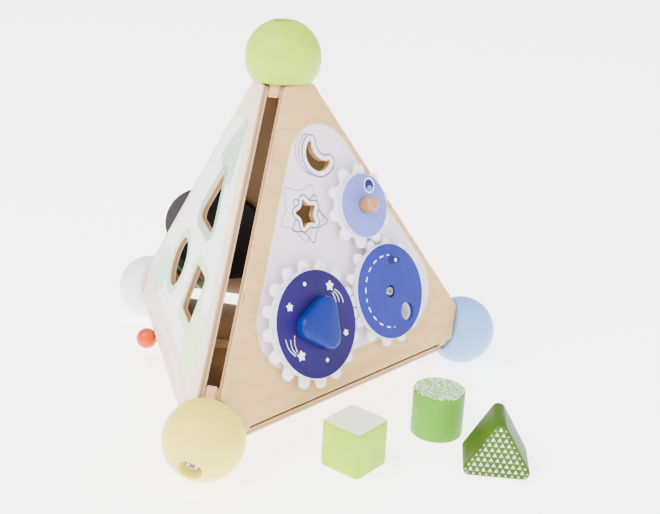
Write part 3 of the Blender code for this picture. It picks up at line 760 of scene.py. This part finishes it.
# Plain birch plywood with one round green patch of small triangles, printed on its inner face
def backPanelFinish():
    # The wood around the patch carries painted shade on its face toward the middle
    material = woodMaterial("birchPlyBack", *birchTones, 0.5, edge=panelSpan)
    tree = material.node_tree
    base = tree.nodes["Principled BSDF"].inputs["Base Color"]
    patch = calc(tree, "MULTIPLY", below(tree, attribute(tree, "patch"), 0.0, 0.3),
                 below(tree, localHeight(tree), panelSizes["near"] + 0.05, 0.04))
    motif = below(tree, attribute(tree, "motif"), 0.0, 0.15)
    tint = blendColour(tree, motif, linear("25402C"), linear("A9C7A0"))
    tree.links.new(blendColour(tree, patch, base.links[0].from_socket, tint), base)
    return material


backMesh = plateMesh("backPanelSheet", panelEdge, [circleLine(boltHole, 24, backShape["bolt"])],
                     panelRows, panelRows, backShape["grid"])
finishPiece("backPanelSheet", backMesh, backAxes, backPanelFinish(), "pyramid", ["back_panel"],
            fields=backPanelFields)
baseMesh = plateMesh("basePanelSheet", divided(panelLine(pi), panelSizes["step"]), [],
                     roundRows(*baseShape["span"], panelSizes["ease"], panelSizes["ease"]), [],
                     baseShape["grid"])
# The base's upper face, toward the middle, carries painted shade
finishPiece("basePanelSheet", baseMesh, baseAxes,
            woodMaterial("birchPlyBase", *birchTones, 0.5, edge=baseShape["span"]), "pyramid", ["base_panel"])
print("panels done")


# Balls: a turned sphere with a rounded counterbore and a flat
ballSizes = {"radius": frameSizes["ball"], "flat": 14.75, "bore": 7.0, "depth": 7.5, "hole": 2.3, "lip": 0.8,
             "seatEase": 0.4}
ballColours = {"top": "A8C918", "front": "E8D854", "right": "82A9E2", "left": "EAE8F2"}


# From the seat of the bore over its rounded lip, round the sphere by r sin, -r cos, to the flat
def ballProfile():
    radius, bore, lip, flat = (ballSizes[key] for key in ("radius", "bore", "lip", "flat"))
    hole, ease = ballSizes["hole"], ballSizes["seatEase"]
    seat = -(radius - ballSizes["depth"])
    first = asin((bore + lip) / radius)
    last = pi - acos(flat / radius)
    rimZ = -radius * cos(first)
    flatRim = radius * sin(last)
    rows = [(hole, seat), (bore - ease, seat), (bore, seat - ease)]
    rows += [(bore + lip * (1.0 - cos(a)), rimZ + lip * (1.0 - sin(a)) * 0.9)
             for a in np.linspace(0.0, pi / 2.0, 5)[:-1]]
    rows += [(radius * sin(a), -radius * cos(a)) for a in np.linspace(first, last - 0.03, 44)]
    rows += [(flatRim - 0.35, flat - 0.1), (flatRim - 1.0, flat), (hole, flat)]
    return rows


for name, colour in ballColours.items():
    mesh = turnedMesh("ball_" + name + "_paint", ballProfile(), 96, closed=True)
    finishPiece("ballSkin_" + name, mesh, ballAxes(name),
                paint("ballPaint_" + name, colour, 0.38, 0.04, 0.03, specular=0.25), "pyramid",
                ["ball_" + name], smoothAngle=50)
print("balls done")


# Gears, meshed in turn: the shares of a tooth step from the line of centres add to one half
def meshedPhase(source, phase, target):
    a, b = gearPlan[source], gearPlan[target]
    line = atan2(b["centre"][1] - a["centre"][1], b["centre"][0] - a["centre"][0])
    share = (line - phase) / (2.0 * pi / a["teeth"]) % 1.0
    return line + pi - (0.5 - share) * 2.0 * pi / b["teeth"]


fingerHole = {"spot": (12.6, -17.2), "radius": 6.15}
discHole = 4.25
phases = {"large": radians(86.1)}
phases["middle"] = meshedPhase("large", phases["large"], "middle")
phases["small"] = meshedPhase("middle", phases["middle"], "small")
fingerLine = circleLine(fingerHole["radius"], 56, fingerHole["spot"])


# Moulded white plastic: soft gloss, a faint cloud and a little light passing through
def plasticFinish():
    material, tree, shader = startMaterial("whiteGearPlastic", 0.38, 0.1, 0.2, 1.46)
    cloud = noise(tree, localPoint(tree), 0.06, 3.0)
    tree.links.new(blendColour(tree, cloud, linear("F3F1F6"), linear("E8E5EE")), shader.inputs["Base Color"])
    bumped(tree, shader, noise(tree, localPoint(tree), 2.5, 2.0), 0.000012, 0.5)
    shader.inputs["Subsurface Weight"].default_value = 0.05
    shader.inputs["Subsurface Radius"].default_value = (0.002, 0.002, 0.002)
    return material


largeStars = ((3.3, 1.75, (-19.9, 15.8), 80.0), (2.7, 1.45, (23.1, -11.7), 100.0),
              (4.0, 2.1, (17.1, 20.8), 75.0), (4.0, 2.1, (-18.4, -15.7), 85.0))
largeDots = ((-3.9, 26.8), (2.3, -24.2))
largeTrails = (((17.8, 15.8), (19.3, 8.2), 1.0), ((19.2, 16.6), (22.4, 9.0), 1.3),
               ((20.6, 17.6), (26.1, 7.4), 1.6), ((-21.0, -12.6), (-20.6, -2.0), 1.0),
               ((-22.3, -13.4), (-24.6, -3.6), 1.3), ((-23.2, -14.4), (-28.4, -2.4), 1.6))
dotRadius = 1.3
trailHalf = 0.27


# Printed stars, dots and trails on the large disc, as signed distances
def largeDiscFields(p):
    shapes = [signedDistance(p, starLine(outer, inner, centre, radians(lean), 1))
              for outer, inner, centre, lean in largeStars]
    shapes += [np.hypot(p[:, 0] - x, p[:, 1] - y) - dotRadius for x, y in largeDots]

    # A bent trail: short segments from start to end, bowed sideways by 4 bow t (1 - t)
    def trail(start, end, bow):
        start, end = np.array(start), np.array(end)
        side = np.array((-(end - start)[1], (end - start)[0])) / np.hypot(*(end - start))
        t = np.linspace(0.0, 1.0, 6)
        path = start + (end - start) * t[:, None] + side * (4.0 * bow * t * (1.0 - t))[:, None]
        return np.min([segmentDistance(p, a, b) for a, b in zip(path, path[1:])], axis=0) - trailHalf

    shapes += [trail(*plan) for plan in largeTrails]
    return {"ink": np.min(shapes, axis=0), "rim": np.hypot(p[:, 0], p[:, 1])}


dashPlan = {"radius": 24.5, "step": 17.3, "start": 96.5, "from": 78.0, "to": 264.0, "half": 1.9,
            "width": 0.42}


# A dashed arc and a small rocket: an ellipse with fins and a window
def middleDiscFields(p):
    a = np.degrees(np.arctan2(p[:, 1], p[:, 0]))
    r = np.hypot(p[:, 0], p[:, 1])
    step, radius = dashPlan["step"], dashPlan["radius"]
    turn = (a - dashPlan["start"]) % step
    along = np.abs(turn - step * np.round(turn / step)) * np.pi / 180.0 * radius
    span = (a % 360.0 > dashPlan["from"]) & (a % 360.0 < dashPlan["to"])
    dash = np.maximum(along - dashPlan["half"], np.abs(r - radius) - dashPlan["width"])
    dash = np.where(span, dash, farAway)
    q = turned2d(p, radians(8.0), (8.8, 19.6))
    body = np.hypot(q[:, 0] / 6.2, q[:, 1] / 2.3) * 2.3 - 2.3
    fins = signedDistance(q, np.array(((-5.6, -3.6), (-1.5, -1.6), (-1.5, 1.6), (-5.6, 4.4), (-4.4, 0.0))))
    upper = signedDistance(q, np.array(((-2.4, 1.4), (1.6, 1.6), (-3.2, 5.0))))
    window = np.hypot(q[:, 0] - 1.8, q[:, 1]) - 1.25
    return {"ink": np.minimum(dash, window), "dark": np.minimum(np.minimum(body, fins), upper), "rim": r}


# A ring with a crescent in it
def smallDiscFields(p):
    q = p[:, :2] - (7.7, 12.3)
    r = np.hypot(q[:, 0], q[:, 1] * 0.95)
    crescent = np.maximum(r - 3.9, 2.6 - np.hypot(q[:, 0], q[:, 1] + 2.6))
    return {"ink": np.abs(r - 4.6) - 0.4, "dark": crescent, "rim": np.hypot(p[:, 0], p[:, 1])}


# Printed or painted wood disc: matt, faintly streaked, with ink shapes and a paler rim
def discFinish(name, colour, shade, radius, dark=None):
    material, tree, shader = startMaterial(name, 0.45, 0.03, 0.2, specular=0.16)
    slow = noise(tree, localPoint(tree), 0.04, 3.0)
    tint = blendColour(tree, ramp(tree, slow, 0.3, 0.7), linear(colour), linear(shade))
    fibre = noise(tree, localPoint(tree, (0.05, 1.2, 1.0)), 1.2, 4.0)
    tint = blendColour(tree, ramp(tree, fibre, 0.55, 0.8, 0.0, 0.12), tint, linear(shade))
    if dark:
        tint = blendColour(tree, below(tree, attribute(tree, "dark"), 0.0, 0.15), tint, linear(dark))
    tint = blendColour(tree, below(tree, attribute(tree, "ink"), 0.0, 0.15), tint, linear("F4F3FA"))
    rim = above(tree, attribute(tree, "rim"), radius - 0.5, 0.15)
    tint = blendColour(tree, rim, tint, linear("CBC6EA"))
    tree.links.new(tint, shader.inputs["Base Color"])
    bumped(tree, shader, fibre, 0.00002, 0.5)
    return material


plastic = plasticFinish()
discLooks = {
    "large": {"colour": "200C58", "shade": "1A094C", "dark": None, "fields": largeDiscFields},
    "middle": {"colour": "242A88", "shade": "20257E", "dark": "1A1150", "fields": middleDiscFields},
    "small": {"colour": "757CCC", "shade": "6B72C2", "dark": "22185F", "fields": smallDiscFields},
}
gearSizes = {"rim": (13.8, 17.0), "hub": (10.6, 14.2), "rimInset": 2.0, "disc": (17.3, 20.3), "ease": 0.3,
             "discEase": 0.7, "grid": 0.55}
hubLow, hubHigh = gearSizes["hub"]
hubRows = [(0.0, hubLow), (0.0, hubLow + gearSizes["ease"]), (0.0, hubHigh)]
for name, plan in gearPlan.items():
    axle = shifted(gearAxes, *plan["centre"])
    extra = [fingerLine] if name == "middle" else []
    holes = [circleLine(boltHole, 32)] + extra
    outline = gearLine(plan["teeth"], plan["tip"], plan["root"], plan["thick"], phases[name])
    mesh = plateMesh(name + "GearBody", outline, holes,
                     roundRows(*gearSizes["rim"], gearSizes["ease"], 1.0, 5),
                     roundRows(*gearSizes["rim"], 0.0, 0.4))
    hub = plateMesh(name + "GearHub", circleLine(plan["root"] - gearSizes["rimInset"], 96), holes,
                    [(gearSizes["ease"], hubLow)] + hubRows[1:], hubRows)
    whole = bmesh.new()
    whole.from_mesh(mesh)
    whole.from_mesh(hub)
    whole.to_mesh(mesh)
    whole.free()
    finishPiece(name + "GearBody", mesh, axle, plastic, name + "_gear", [name + "_gear"])
    look = discLooks[name]
    mesh = plateMesh(name + "DiscFace", circleLine(plan["disc"], 160), [circleLine(discHole, 40)] + extra,
                     roundRows(*gearSizes["disc"], 0.0, gearSizes["discEase"]),
                     roundRows(*gearSizes["disc"], 0.0, 0.5), gearSizes["grid"])
    finishPiece(name + "DiscFace", mesh, axle,
                discFinish(name + "DiscPaint", look["colour"], look["shade"], plan["disc"], look["dark"]),
                name + "_gear", [name + "_disc"], fields=look["fields"])
print("gear train done")


# Handles
knobShape = {"inradius": 13.3, "corner": 8.0, "turn": radians(55.0), "low": 20.6}
knobLine = roundedLine(regular(3, knobShape["inradius"], knobShape["turn"]), knobShape["corner"], 20)
knobRows = [(inset, knobShape["low"] + rise)
            for inset, rise in ((0.3, 0.0), (0.05, 0.4), (0.0, 1.0), (0.05, 3.8), (0.25, 5.2), (0.65, 6.3),
                                (1.25, 7.1), (1.9, 7.5), (2.3, 7.7), (2.8, 7.8))]
mesh = plateMesh("triangleKnobBody", knobLine, [], knobRows, [], 60.0)
finishPiece("triangleKnobBody", mesh, shifted(gearAxes, *gearPlan["large"]["centre"]),
            paint("cobaltPaint", "061F70", 0.38, 0.05, 0.05, specular=0.18), "large_gear", ["triangle_knob"],
            smoothAngle=60)
pegShape = {"low": 20.6, "high": 30.0, "radius": 5.3, "round": 2.8, "ease": 0.3}
low, radius, ease = pegShape["low"], pegShape["radius"], pegShape["ease"]
hubR, shoulder = radius - pegShape["round"], pegShape["high"] - pegShape["round"]
pegRows = [(0.0, low), (radius - ease, low), (radius, low + ease), (radius, shoulder)]
pegRows += [(hubR + pegShape["round"] * cos(a), shoulder + pegShape["round"] * sin(a))
            for a in np.linspace(0.0, pi / 2.0, 9)[1:]]
mesh = turnedMesh("pegHandleBody", pegRows + [(0.0, pegShape["high"])], 64)
finishPiece("pegHandleBody", mesh, shifted(gearAxes, *gearPlan["small"]["centre"]),
            woodMaterial("handleBeech", "B98450", "A06C3C", 0.42, (0.3, 0.3, 0.03)), "small_gear",
            ["peg_handle"], smoothAngle=50)

# Spinner, swing knob and its arm
spinnerShape = {"radius": 42.0, "span": (1.2, 5.2), "ease": 0.6, "grid": 4.0}
mesh = plateMesh("spinnerFace", circleLine(spinnerShape["radius"], 180), [circleLine(boltHole, 24)],
                 roundRows(*spinnerShape["span"], spinnerShape["ease"], spinnerShape["ease"]),
                 roundRows(*spinnerShape["span"], 0.0, 0.0), spinnerShape["grid"])
finishPiece("spinnerFace", mesh, shifted(backAxes, *backShape["bolt"]),
            paint("charcoalPaint", "1D181C", 0.5, 0.02, 0.05, 1.0, 0.2), "spinner", ["spinner_disc"])
swing = {"spot": (-91.6, -14.56, -3.7), "radius": 7.4, "flatAngle": 0.56, "floor": -2.0, "neck": 2.75}
swingTurn = Matrix.Rotation(atan2(swing["spot"][1], swing["spot"][0]), 4, "Z")
swingReach = sqrt(swing["spot"][0] ** 2 + swing["spot"][1] ** 2)
towardPivot = Matrix(((0, 0, -1), (0, 1, 0), (1, 0, 0))).to_4x4()
sphereRows = [(swing["radius"] * sin(a), swing["radius"] * cos(a))
              for a in np.linspace(pi, swing["flatAngle"], 40)]
sphereRows += [(swing["neck"], swing["radius"] * cos(swing["flatAngle"])), (swing["neck"], swing["floor"]),
               (0.0, swing["floor"])]
mesh = turnedMesh("swingKnobSkin", sphereRows, 72)
swingPlace = baseAxes @ swingTurn @ Matrix.Translation((swingReach, 0, swing["spot"][2])) @ towardPivot
finishPiece("swingKnobSkin", mesh, swingPlace, paint("orangePaint", "CC4200", 0.3, 0.04, 0.04, specular=0.2),
            "swing_arm", ["swing_knob"])
print("handles and moving pieces done")


# Loose blocks
blockPlan = {
    "cube": {"spot": (82.0, -101.5), "turn": 64.0, "side": 30.5, "corner": 4.2, "ease": 1.8},
    "cylinder": {"spot": (125.3, -44.0), "turn": 0.0, "radius": 17.0, "height": 31.0, "ease": 1.0,
                 "specks": 230},
    "prism": {"spot": (169.0, -90.9), "turn": 8.0, "side": 47.2, "depth": 30.0, "corner": 4.5, "ease": 1.2,
              "pitch": 3.9, "mark": 2.15, "margin": 1.2},
}


# A block's place on the table, turned about the upright
def standing(plan):
    return Matrix.Translation((*plan["spot"], tableHeight)) @ Matrix.Rotation(radians(plan["turn"]), 4, "Z")


# Matt painted hardwood with faint upright fibre, and a lighter ground or ink above the face's height
def blockFinish(name, colour, shade, ink, faceTest, ground=None):
    material, tree, shader = startMaterial(name, 0.48, 0.0, 0.2, specular=0.14)
    slow = noise(tree, localPoint(tree), 0.05, 3.0)
    tint = blendColour(tree, ramp(tree, slow, 0.3, 0.7), linear(colour), linear(shade))
    fibre = noise(tree, localPoint(tree, (1.3, 1.3, 0.08)), 1.5, 4.0)
    tint = blendColour(tree, ramp(tree, fibre, 0.5, 0.8, 0.0, 0.15), tint, linear(shade))
    face = above(tree, localHeight(tree), faceTest, 0.05)
    if ground:
        inside = below(tree, attribute(tree, "edge"), -0.4, 0.3)
        tint = blendColour(tree, calc(tree, "MULTIPLY", face, inside), tint, linear(ground))
    if ink:
        mask = calc(tree, "MULTIPLY", face, below(tree, attribute(tree, "ink"), 0.0, 0.1))
        tint = blendColour(tree, mask, tint, linear(ink))
    tree.links.new(tint, shader.inputs["Base Color"])
    bumped(tree, shader, fibre, 0.00003, 0.5)
    return material


cube, cylinder, prism = (blockPlan[name] for name in ("cube", "cylinder", "prism"))
cubeLine = roundedLine(regular(4, cube["side"] / 2.0, pi / 4.0), cube["corner"], 12)
mesh = plateMesh("cubeBlockBody", divided(cubeLine, 1.5), [],
                 roundRows(0.0, cube["side"], cube["ease"], cube["ease"], 6), [], 1.5)
finishPiece("cubeBlockBody", mesh, standing(cube),
            blockFinish("paleLimePaint", "A2C816", "94BC10", None, cube["side"] - 0.4, "F0F2DC"), "cube",
            ["cube_block"], fields=lambda p: {"edge": signedDistance(p, insetLine(cubeLine, 0.6))},
            smoothAngle=60)
speckSeed = np.random.default_rng(7)


# Scattered small triangles on the cylinder's top: nearest of the seeded spots, each turned its own way
def cylinderFields(p):
    reach, count = cylinder["radius"], cylinder["specks"]
    spots = speckSeed.uniform(-reach, reach, (count, 2))
    turns = speckSeed.uniform(0.0, 2.0 * pi, count)
    best = np.full(len(p), farAway)
    top = p[:, 2] > cylinder["height"] - 1.0
    q = p[top]
    near = np.full(len(q), farAway)
    for spot, turn in zip(spots, turns):
        x, y = turned2d(q, turn, spot).T
        near = np.minimum(near, np.maximum(-y - 0.5, np.abs(x) * 0.866 + y * 0.5 - 0.55))
    best[top] = near
    return {"ink": best, "edge": np.hypot(p[:, 0], p[:, 1]) - (reach - 0.6)}


mesh = plateMesh("cylinderBlockBody", circleLine(cylinder["radius"], 120), [],
                 roundRows(0.0, cylinder["height"], cylinder["ease"], cylinder["ease"], 5), [], 0.4)
finishPiece("cylinderBlockBody", mesh, standing(cylinder),
            blockFinish("leafGreenPaint", "609A26", "558E1E", "F1F4EA", cylinder["height"] - 0.3, "8CBC72"),
            "cylinder", ["cylinder_block"], fields=cylinderFields, smoothAngle=60)
prismInradius = prism["side"] / (2.0 * sqrt(3.0))
prismLine = roundedLine(regular(3, prismInradius, pi / 2.0), prism["corner"], 12)
prismInk = insetLine(prismLine, prism["margin"])


# Rows of small triangles, kept inside the prism's outline
def prismFields(p):
    rows = triangleRows(p, prism["pitch"], prism["mark"])
    return {"ink": np.maximum(rows, signedDistance(p, prismInk))}


mesh = plateMesh("prismBlockBody", divided(prismLine, 1.5), [],
                 roundRows(-prism["depth"], 0.0, prism["ease"], prism["ease"], 5), [], 0.3)
upright = Matrix.Translation((0.0, 0.0, prismInradius)) @ Matrix.Rotation(pi / 2.0, 4, "X")
finishPiece("prismBlockBody", mesh, standing(prism) @ upright,
            blockFinish("deepGreenPaint", "3E5C12", "324C0C", "BCD0AE", -0.3), "prism", ["prism_block"],
            fields=prismFields, smoothAngle=60)
print("blocks done")

# CAD pieces that keep their shape
steel = steelMaterial("zincSteel")
cornerWood = rawWood("sandedBirch", "D4AC7C", "BE9260")
armWood = rawWood("armBirch", "D4AC7C", "BE9260")


def keptFinish(node):
    if any(word in node for word in ("screw", "bolt", "nut")):
        return steel
    if node.startswith("corner_block"):
        return cornerWood
    return armWood if node == "swing_arm" else None


for node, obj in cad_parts.items():
    finish = keptFinish(node)
    if finish:
        obj.data.materials.clear()
        obj.data.materials.append(finish)

# Floor, light and camera
floorMaterial, floorTree, floorShader = startMaterial("paleFloor", 0.9)
floorPlace = addNode(floorTree, "TexCoord").outputs["Object"]
floorGrain = addNode(floorTree, "TexNoise", {"Vector": floorPlace, "Scale": 3.0}).outputs[0]
floorTint = blendColour(floorTree, floorGrain, linear("FCFCFC"), linear("F9F9F9"))
floorTree.links.new(floorTint, floorShader.inputs["Base Color"])
floorShader.inputs["Emission Color"].default_value = (1.0, 1.0, 1.0, 1.0)
floorShader.inputs["Emission Strength"].default_value = 3.2
floorPlan = {"half": 6.0, "clear": 0.0002}
x, y = np.meshgrid((-floorPlan["half"], floorPlan["half"]), (-floorPlan["half"], floorPlan["half"]))
z = np.full(4, tableHeight * mm - floorPlan["clear"])
floorMesh = bpy.data.meshes.new("floor")
floorMesh.from_pydata(np.column_stack((x.ravel(), y.ravel(), z)), [], [(0, 1, 3, 2)])
floor = bpy.data.objects.new("floor", floorMesh)
floorMesh.materials.append(floorMaterial)
bpy.context.scene.collection.objects.link(floor)

world = bpy.context.scene.world or bpy.data.worlds.new("studio")
bpy.context.scene.world = world
world.use_nodes = True
background = world.node_tree.nodes["Background"]
background.inputs["Color"].default_value = (1.0, 1.0, 1.0, 1.0)
background.inputs["Strength"].default_value = 1.55
lightTarget = Vector((0.0, 0.0, 0.08))
lightPlan = {
    "key": {"spot": (-0.6, -1.0, 1.5), "size": 1.2, "power": 54.0},
    "fill": {"spot": (1.3, -0.8, 0.9), "size": 1.4, "power": 12.0},
}
for name, plan in lightPlan.items():
    light = bpy.data.lights.new(name, "AREA")
    light.size = plan["size"]
    light.energy = plan["power"]
    lamp = bpy.data.objects.new(name, light)
    lamp.location = plan["spot"]
    lamp.rotation_euler = (lightTarget - Vector(plan["spot"])).to_track_quat("-Z", "Y").to_euler()
    bpy.context.scene.collection.objects.link(lamp)

cameraPlan = {"spot": (187.3, -656.9, 321.25), "right": (0.9701515, 0.237916, 0.0469259),
              "down": (0.1230743, -0.3163333, -0.9406306), "ahead": (-0.2089469, 0.9183295, -0.3361727),
              "lens": 56.85, "sensor": 36.0}
camera = bpy.data.objects.new("camera", bpy.data.cameras.new("camera"))
camera.data.lens = cameraPlan["lens"]
camera.data.sensor_width = cameraPlan["sensor"]
right, down, ahead = (Vector(cameraPlan[key]) for key in ("right", "down", "ahead"))
cameraTurn = Matrix((right, -down, -ahead)).transposed().to_4x4()
camera.matrix_world = Matrix.Translation(Vector(cameraPlan["spot"]) * mm) @ cameraTurn
bpy.context.scene.collection.objects.link(camera)
bpy.context.scene.camera = camera

print("scene ready")
